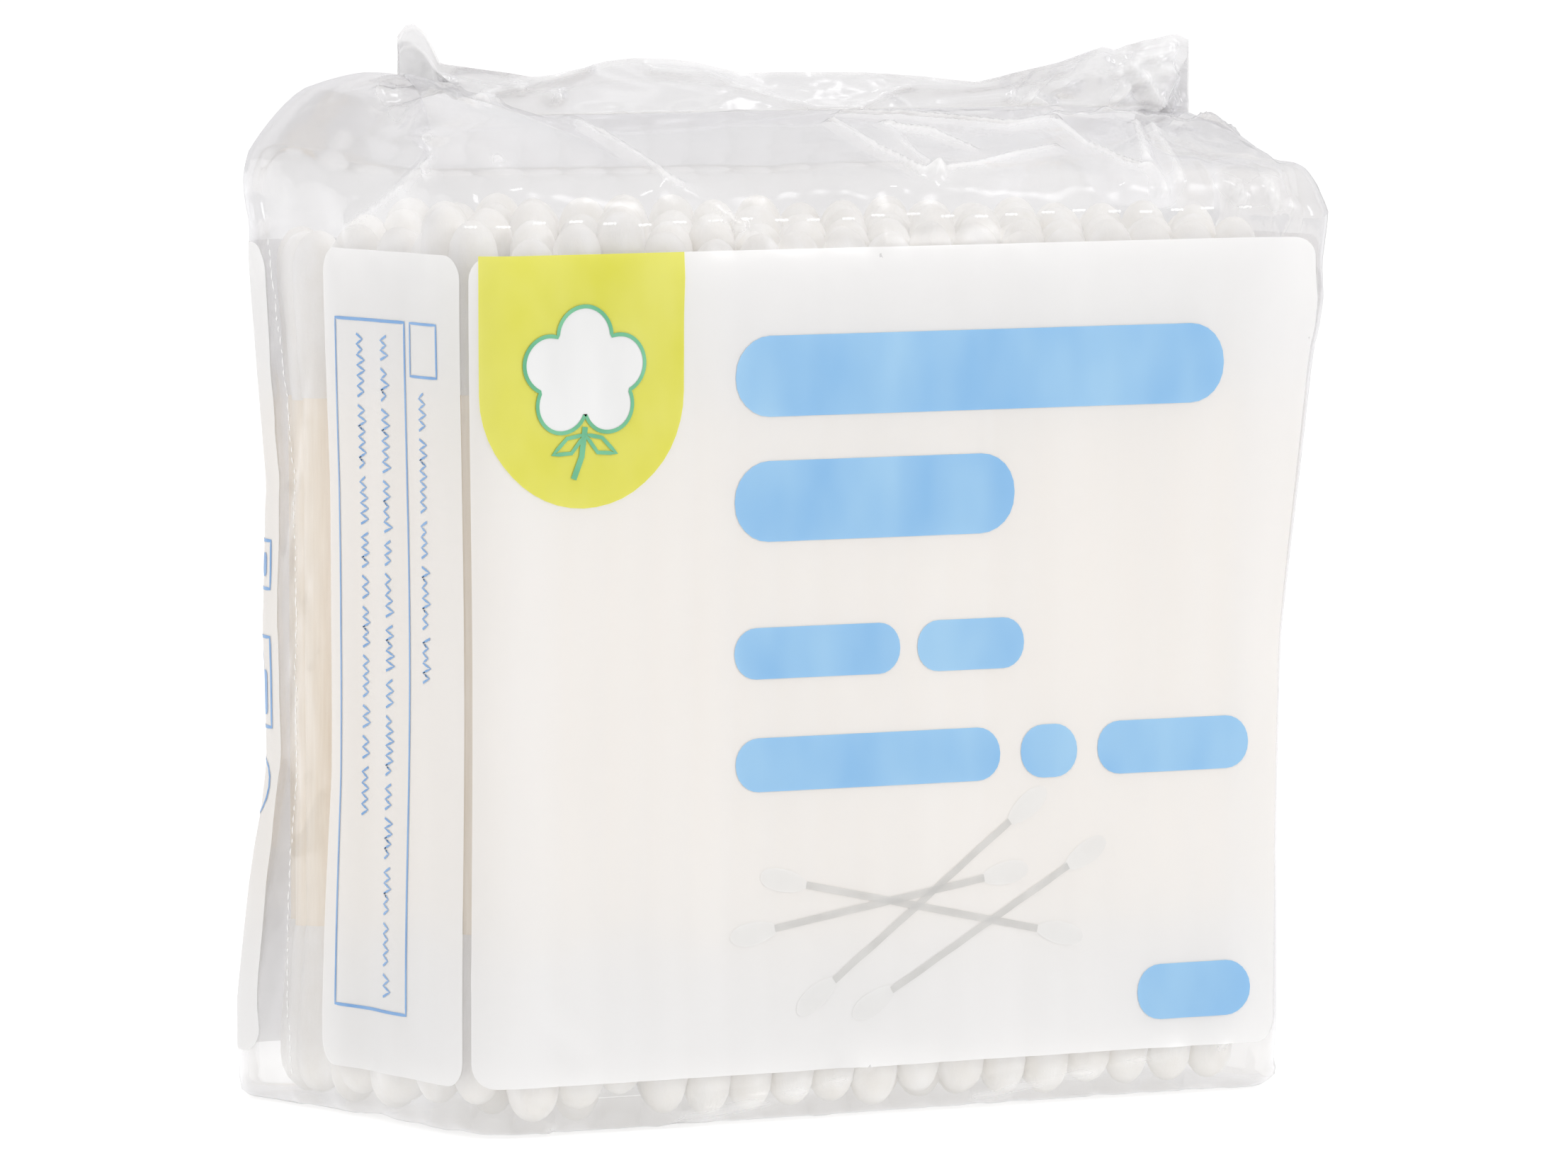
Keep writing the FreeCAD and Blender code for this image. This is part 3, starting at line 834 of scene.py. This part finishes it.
boll_s, boll_z, boll_size = tab_left + 9.2, 61.4, 5.3
boll_ink = ink_material("boll_white", grey(0.64), grey(0.69), (1.0, 1.0, 0.4), 200.0, 1.0, 0.0)
boll = Print("tab_boll", boll_ink, "white_print", 0.19, 0.6)
boll.area(boll_outline(boll_s, boll_z, boll_size))
boll.make()
lines = Print("tab_lines", outline_ink, "green_print", 0.23)
lines.line(boll_outline(boll_s, boll_z, boll_size), 0.32, True)
lines.line([(boll_s, boll_z - 4.0), (boll_s - 0.3, boll_z - 6.4), (boll_s - 1.0, boll_z - 8.2)], 0.5)
for side in (-1.0, 1.0):
    leaf = [(boll_s, boll_z - 4.6), (boll_s + side * 1.6, boll_z - 4.9), (boll_s + side * 2.9, boll_z - 6.2),
            (boll_s + side * 1.2, boll_z - 6.1)]
    lines.line(leaf, 0.32, True)
lines.make()

bar_left = -5.2 + 24.8
bars = Print("name_fields", sky_ink, "blue_print", 0.14)
for start, length, low, height in (
    (0.0, 46.5, 53.6, 6.6), (0.0, 26.4, 43.4, 6.6), (0.0, 15.6, 32.2, 4.2), (17.2, 10.2, 32.2, 4.2),
    (0.0, 25.0, 23.0, 4.4), (27.0, 5.4, 23.0, 4.4), (34.4, 14.6, 23.0, 4.4), (38.0, 10.8, 2.4, 4.6),
):
    bars.bar(bar_left + start, print_low + low, length, height)
bars.make("name_bars")


def swab_picture(inks, s, z, length, turn):
    """A drawn swab: a thin stick between two pale heads."""
    c, w = math.cos(math.radians(turn)), math.sin(math.radians(turn))
    stick, heads = inks
    half = length / 2.0
    bare = half * 0.72
    stick.line([(s - c * bare, z - w * bare), (s + c * bare, z + w * bare)], 0.60)
    for side in (-1.0, 1.0):
        points = []
        for k in range(20):
            a = 2.0 * math.pi * k / 20
            du, dv = 2.3 * math.cos(a), (0.95 + 0.15 * math.cos(a) * side) * math.sin(a)
            mid = side * half * 0.86
            points.append((s + c * (mid + du) - w * dv, z + w * (mid + du) + c * dv))
        heads.area(points)


picture = Print("picture_sticks", pale_ink, "white_print", 0.14)
picture_heads_ink = ink_material("picture_white", (0.84, 0.835, 0.83, 1.0), (0.87, 0.87, 0.865, 1.0),
                                 (1.0, 1.0, 1.0), 300.0, 1.0)
picture_heads = Print("picture_heads", picture_heads_ink, "white_print", 0.12, 0.6)
for s, z, length, turn in (
    (37.0, 17.5, 29.0, 36.0), (37.0, 17.0, 31.0, -12.0), (33.0, 17.5, 28.0, 9.0), (42.5, 15.0, 27.0, 29.0),
):
    swab_picture((picture, picture_heads), s, z, length, turn)
picture.make()
picture_heads.make()


# The printing on the ends and the back

side_near = -5.45
side_far = side_near - side_width
left_field = Print("left_field", white_ink_painted_shade, "white_print", 0.08, 0.8)
left_field.area(rounded(side_far, print_low, side_width, print_high - print_low, print_corner))
left_field.make("left_print")

right_near = 5.45


def right_shape():
    """The right end's field keeps its distance from the leaning corner."""
    plain = rounded(0.0, print_low, side_width, print_high - print_low, print_corner)
    return [(front_flat(z) + right_near + s, z) for s, z in plain]


right_field = Print("right_field", white_ink_painted_shade, "white_print", 0.08, 0.8)
right_field.area(right_shape())
right_field.make("right_print")

back_wrap = 8.8
back_field = Print("back_field", white_ink_painted_shade, "white_print", 0.08, 0.9)


def back_at(u):
    """s for a place on the back, u millimetres from the end of its flat width at the left wall."""
    return -(2.0 * arc + end_flat + u)


def back_shape():
    plain = rounded(0.0, print_low, 10.0, print_high - print_low, print_corner)
    return [(back_at(u - back_wrap if u < 5.0 else front_flat(z) - 13.0 + u), z) for u, z in plain]


back_field.area(back_shape())
back_field.make("back_print")

marks = Print("fine_marks", blue_ink, "blue_print", 0.13)


def squiggle(along, across, length, tall, upright):
    """A word of small print: a fine zigzag of uneven height."""
    count = max(3, round(length / 0.42))
    path = []
    for k in range(count + 1):
        up = across + (tall if k % 2 else 0.0) * pick.uniform(0.75, 1.25)
        place = along + length * k / count
        path.append((up, place) if upright else (place, up))
    marks.line(path, 0.2)


def text_column(s, high, low, tall, seed):
    """Upright small print: words of uneven length, reading along the height."""
    lengths = np.random.default_rng(seed)
    z = high
    while z > low + 1.2:
        length = min(lengths.uniform(1.6, 6.0), z - low)
        squiggle(z - length, s, length, tall, True)
        z -= length + 0.7


def text_row(s, z, length, tall, seed):
    """A line of small print: words of uneven length."""
    lengths = np.random.default_rng(seed)
    end = s + length
    while s < end - 1.0:
        word = min(lengths.uniform(1.6, 5.0), end - s)
        squiggle(s, z, word, tall, False)
        s += word + 0.7


pick = np.random.default_rng(5)
marks.line([(-26.2, 65.6), (-14.5, 65.6), (-14.5, 9.2), (-26.2, 9.2)], 0.26, True)
marks.line([(-13.5, 65.6), (-8.7, 65.6), (-8.7, 61.3), (-13.5, 61.3)], 0.22, True)
text_column(-18.4, 64.4, 10.4, 1.1, 3)
text_column(-22.6, 64.4, 25.0, 1.1, 5)
text_column(-11.8, 60.0, 36.5, 1.1, 8)

right_text_start = front_flat(40.0) + 11.5
for k, length in enumerate((11.0, 12.0, 9.5, 12.0, 10.5, 8.0)):
    text_column(right_text_start + 2.0 * k, 64.0 - 2.0 * (k % 2), 64.0 - 3.6 * length, 0.85, 11 + k)

back_start, back_box_end = back_at(60.0), back_at(44.0)
for row in range(9):
    text_row(back_start, 62.0 - 3.4 * row, 42.0 - 4.0 * (row % 4), 0.8, 30 + row)
marks.line([(back_start, 28.0), (back_box_end, 28.0), (back_box_end, 12.0), (back_start, 12.0)], 0.3, True)
for row in range(5):
    text_row(back_at(40.0), 26.0 - 3.2 * row, 22.0 - 3.0 * (row % 2), 0.8, 60 + row)
for low_z, high_z in ((42.5, 46.5), (31.0, 38.5)):
    marks.line([(-44.0, low_z), (-39.2, low_z), (-39.2, high_z), (-44.0, high_z)], 0.28, True)
    marks.bar(-43.0, low_z + 1.0, 1.2, high_z - low_z - 2.0)
    marks.bar(-41.0, low_z + 1.0, 1.0, 0.5 * (high_z - low_z))
ring = [(-41.6 + 2.3 * math.cos(a / 2.55), 26.0 + 2.3 * math.sin(a / 2.55)) for a in range(16)]
marks.line(ring, 0.28, True)
marks.make()


# The perforation and the seam, as small raised and stretched places in the film

def welt(name, path, width, height):
    """A row of small beads in the film along a path of (s, z)."""
    points, faces = [], []
    for s, z, length, slant in path:
        first = len(points)
        ring = 8
        for k in range(ring):
            a = 2.0 * math.pi * k / ring
            du, dv = length / 2.0 * math.cos(a), width / 2.0 * math.sin(a)
            ca, sa = math.cos(slant), math.sin(slant)
            points.append(on_film(s + du * ca - dv * sa, z + du * sa + dv * ca, 0.02))
        points.append(on_film(s, z, height))
        faces += [[first + k, first + (k + 1) % ring, first + ring] for k in range(ring)]
    return mesh_piece(name, points, faces, worked_film)


dash_path = []
pick = np.random.default_rng(5)
for s in np.arange(-4.5, 68.0, 3.15):
    s = s + pick.uniform(-0.25, 0.25)
    height = 73.8 + 0.15 * math.sin(s * 0.4) + pick.uniform(-0.08, 0.08)
    slant = pick.uniform(-0.2, 0.2)
    dash_path.append((s - 0.45, height, 0.40, slant))
    dash_path.append((s, height, 0.70, slant))
    dash_path.append((s + 0.45, height, pick.uniform(0.3, 0.5), slant))
welt("perforation", dash_path, 0.26, 0.18)

seam_path = []
for z in np.arange(3.0, 72.0, 0.9):
    drift = -32.6 - 4.6 * z / 72.0 - 0.8 * math.sin(z * 0.09) + pick.uniform(-0.12, 0.12)
    seam_path.append((drift, z, pick.uniform(0.4, 1.0), 1.57 + pick.uniform(-0.3, 0.3)))
welt("left_seam", seam_path, 0.16, 0.12)


# The swabs: each is built round where the frame's stick stands

head_profile = (
    (0.0, 0.0), (0.12, 0.55), (0.45, 1.05), (1.0, 1.47), (1.8, 1.80), (2.9, 1.96), (4.2, 1.95), (6.0, 1.82),
    (8.0, 1.66), (10.0, 1.50), (11.8, 1.36), (13.2, 1.24), (14.0, 1.15),
)


stick_radius = 1.12
bare_stick_start = 13.0
# The first swab of these rows has room to its left and has moved into it
corner_settling = {2: 1.0, 4: 0.9, 6: 0.9, 8: 0.9, 10: 1.3, 11: 1.9}
# Every swab stands at a height of its own, a little lower on the right
swab_reach = 71.7
lowest_foot = 0.45
foot_spread = 3.2


def stick_places(node):
    """The low and the high centre of every stick in a node, in millimetres."""
    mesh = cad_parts[node].data
    places = {}
    parent = {}
    keys = [tuple(round(c / MM, 3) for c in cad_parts[node].matrix_world @ v.co) for v in mesh.vertices]

    def root(k):
        while parent.setdefault(k, k) != k:
            k = parent[k]
        return k

    for face in mesh.polygons:
        for v in face.vertices[1:]:
            parent[root(keys[v])] = root(keys[face.vertices[0]])
    for key in set(keys):
        places.setdefault(root(key), []).append(key)
    found = []
    for group in places.values():
        group = np.array(group)
        middle = (group[:, 2].min() + group[:, 2].max()) / 2.0
        found.append((group[group[:, 2] < middle].mean(axis=0), group[group[:, 2] > middle].mean(axis=0)))
    return sorted(found, key=lambda pair: pair[0][0])


def tube(points, faces, centres, radii, sides, wobble, twist):
    """Adds a round form of rings to the lists."""
    first = len(points)
    axis = centres[-1] - centres[0]
    axis = axis / np.linalg.norm(axis)
    across = np.cross(axis, (0.0, 1.0, 0.0))
    across = across / np.linalg.norm(across)
    third = np.cross(axis, across)
    for i, (centre, radius) in enumerate(zip(centres, radii)):
        for k in range(sides):
            a = 2.0 * math.pi * k / sides + twist
            r = radius * (1.0 + wobble[i % len(wobble), k])
            points.append(centre + r * (math.cos(a) * across + math.sin(a) * third))
    for i in range(len(centres) - 1):
        for k in range(sides):
            j = (k + 1) % sides
            low, high = first + i * sides, first + (i + 1) * sides
            faces.append([low + k, low + j, high + j, high + k])


def make_swabs():
    profile = np.array(head_profile)
    sides = 16
    for row in range(1, 12):
        places = stick_places(f"sticks_row_{row:02d}")
        head_points, head_faces, stick_points, stick_faces = [], [], [], []
        for place, (low, high) in enumerate(places):
            shift = np.append(rng.uniform(-0.14, 0.14, 2), 0.0)
            shift[1] += {1: 0.12, 11: -0.12}.get(row, 0.0)
            if place == 0:
                shift[0] -= corner_settling.get(row, 0.0)
            low, high = low + shift, high + shift + np.append(rng.uniform(-0.15, 0.15, 2), 0.0)
            axis = (high - low) / np.linalg.norm(high - low)
            spread = foot_spread * (1.0 - 0.4 * min(1.0, max(0.0, (low[0] + 10.0) / 24.0)))
            foot = low + axis * (lowest_foot + spread * rng.random() ** 1.5 - low[2]) / axis[2]
            tip = foot + swab_reach * axis
            bare = [foot + bare_stick_start * axis, tip - bare_stick_start * axis]
            tube(stick_points, stick_faces, bare, [stick_radius, stick_radius], 14, np.zeros((2, 14)), 0.0)
            for start, way in ((foot, axis), (tip, -axis)):
                fat = rng.uniform(0.99, 1.09)
                lump = rng.normal(0.0, 0.012, (len(profile), sides))
                oval = np.arange(sides) * 4.0 * math.pi / sides + rng.uniform(0.0, 6.0)
                lump = lump + 0.02 * np.sin(oval)
                lump[0] = 0.0
                bend = rng.normal(0.0, 0.10, 3)
                centres = [start + way * u + bend * (1.0 - u / 14.0) ** 2 for u in profile[:, 0]]
                twist = rng.uniform(0.0, 1.0)
                tube(head_points, head_faces, centres, profile[:, 1] * fat, sides, lump, twist)
        heads = mesh_piece(f"swab_heads_row_{row:02d}", head_points, head_faces, cotton)
        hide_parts(f"top_heads_row_{row:02d}", f"bottom_heads_row_{row:02d}")
        sticks = mesh_piece(f"swab_sticks_row_{row:02d}", stick_points, stick_faces, paper)
        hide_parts(f"sticks_row_{row:02d}")


make_swabs()


# The floor, the light and the camera

def make_floor():
    material, tree, output = new_material("floor_white")
    shader = add_node(tree, "BsdfPrincipled", {
        "Roughness": 0.9, "Specular IOR Level": 0.1,
        "Emission Color": (1.0, 1.0, 1.0, 1.0), "Emission Strength": 0.64,
    })
    tone = place_noise(tree, (1.0, 1.0, 1.0), 40.0, 2.0)
    tree.links.new(ramp(tree, tone, ((0.3, grey(0.42)), (0.7, grey(0.44)))), shader.inputs["Base Color"])
    tree.links.new(shader.outputs["BSDF"], output.inputs["Surface"])
    mesh = bpy.data.meshes.new("floor")
    reach = 9.0
    corners = [(-reach, -reach, 0.0), (reach, -reach, 0.0), (reach, reach, 0.0), (-reach, reach, 0.0)]
    mesh.from_pydata(corners, [], [(0, 1, 2, 3)])
    mesh.materials.append(material)
    floor = bpy.data.objects.new("floor", mesh)
    bpy.context.collection.objects.link(floor)
    floor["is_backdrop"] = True


def make_world():
    """Plain white to the eye and as light on the pack, and darker where the film mirrors it."""
    world = bpy.data.worlds.new("studio")
    world.use_nodes = True
    tree = world.node_tree
    tree.nodes.clear()
    output = add_node(tree, "OutputWorld")
    seen = add_node(tree, "Background", {"Strength": 1.0}).outputs["Background"]
    around = add_node(tree, "Background", {"Color": (1.0, 0.995, 0.985, 1.0), "Strength": 0.98})
    mirrored = add_node(tree, "Background", {"Strength": 0.90}).outputs["Background"]
    path = add_node(tree, "LightPath").outputs
    lit = add_mix(tree, path["Is Glossy Ray"], around.outputs["Background"], mirrored)
    tree.links.new(add_mix(tree, path["Is Camera Ray"], lit, seen), output.inputs["Surface"])
    bpy.context.scene.world = world


def softbox(name, place, target, size, power, glint="also"):
    """A soft lamp. It lights the pack and is mirrored in it, or does one of these only."""
    data = bpy.data.lights.new(name, "AREA")
    data.shape = "RECTANGLE"
    data.size, data.size_y = size
    data.energy = power
    lamp = bpy.data.objects.new(name, data)
    lamp.location = place
    lamp.rotation_mode = "QUATERNION"
    lamp.rotation_quaternion = (Vector(target) - Vector(place)).to_track_quat("-Z", "Y")
    lamp.visible_diffuse = glint != "only"
    lamp.visible_glossy = glint != "none"
    bpy.context.collection.objects.link(lamp)


make_floor()
make_world()
softbox("overhead", (0.0, -0.12, 0.95), (0.0, 0.0, 0.05), (0.30, 0.20), 2.1, "none")
softbox("key", (0.55, -0.80, 0.50), (0.0, 0.0, 0.05), (0.24, 0.20), 2.3, "none")
softbox("key_glint", (0.55, -0.80, 0.50), (0.0, 0.0, 0.05), (0.24, 0.20), 1.5, "only")
softbox("left", (-0.85, -0.45, 0.55), (0.0, 0.0, 0.05), (0.22, 0.30), 0.88)
softbox("right_strip", (0.60, 0.10, 0.72), (0.0, 0.0, 0.06), (0.08, 0.40), 0.9, "none")
softbox("behind", (-0.30, 0.95, 0.40), (0.0, 0.0, 0.04), (0.50, 0.40), 1.9, "none")
softbox("high_strip", (0.10, -0.75, 0.78), (0.0, 0.0, 0.06), (0.30, 0.08), 0.45, "only")
softbox("side_strip", (0.90, -0.40, 0.30), (0.0, 0.0, 0.06), (0.08, 0.30), 0.3, "only")

camera_data = bpy.data.cameras.new("camera")
camera_data.lens = camera_lens
camera_data.sensor_width = 36.0
camera_data.clip_start = 0.01
camera_data.clip_end = 50.0
camera = bpy.data.objects.new("camera", camera_data)
camera.location = tuple(c * MM for c in camera_place)
aim = Euler((math.radians(90.0 - camera_pitch), 0.0, math.radians(-camera_turn))).to_matrix()
camera.rotation_euler = (aim @ Matrix.Rotation(math.radians(camera_roll), 3, "Z")).to_euler()
bpy.context.collection.objects.link(camera)
bpy.context.scene.camera = camera
bpy.context.scene.view_settings.view_transform = "Standard"

low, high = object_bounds()
